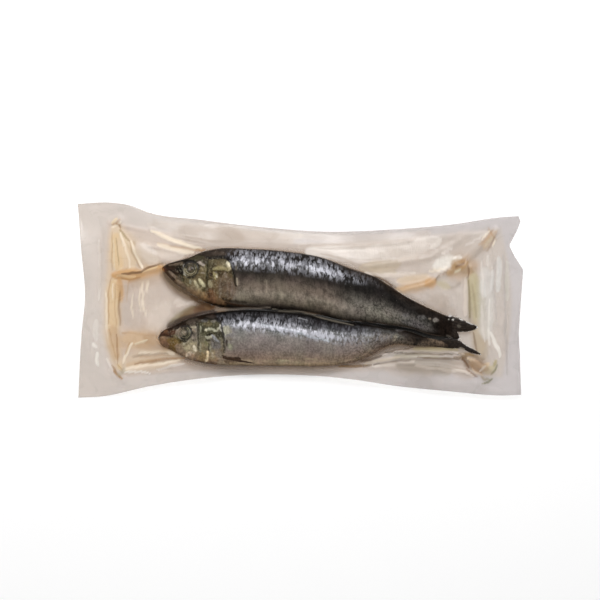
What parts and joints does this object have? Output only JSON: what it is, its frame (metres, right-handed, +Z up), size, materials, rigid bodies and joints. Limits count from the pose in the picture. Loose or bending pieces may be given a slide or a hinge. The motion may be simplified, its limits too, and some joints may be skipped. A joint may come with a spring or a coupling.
{
  "type": "vacuum-packed salted sardines",
  "caption": "Whole salted sardines lying head to head on their sides in a clear vacuum-drawn pouch with a wide, wavy sealed flange.",
  "frame": {"origin": "centre of the pouch's plan, at the table", "axes": "+X along the fish from head to tail, +Y from their bellies to their backs, +Z up from the table to the side that the picture shows"},
  "size_m": [0.252, 0.1106, 0.0172],
  "materials": {
    "pouch": "clear film drawn tight over silver and brown fish, milky where its plies meet, amber where brine has gathered"
  },
  "bodies": {
    "root": {"pouch": "pouch"}
  },
  "joints": []
}
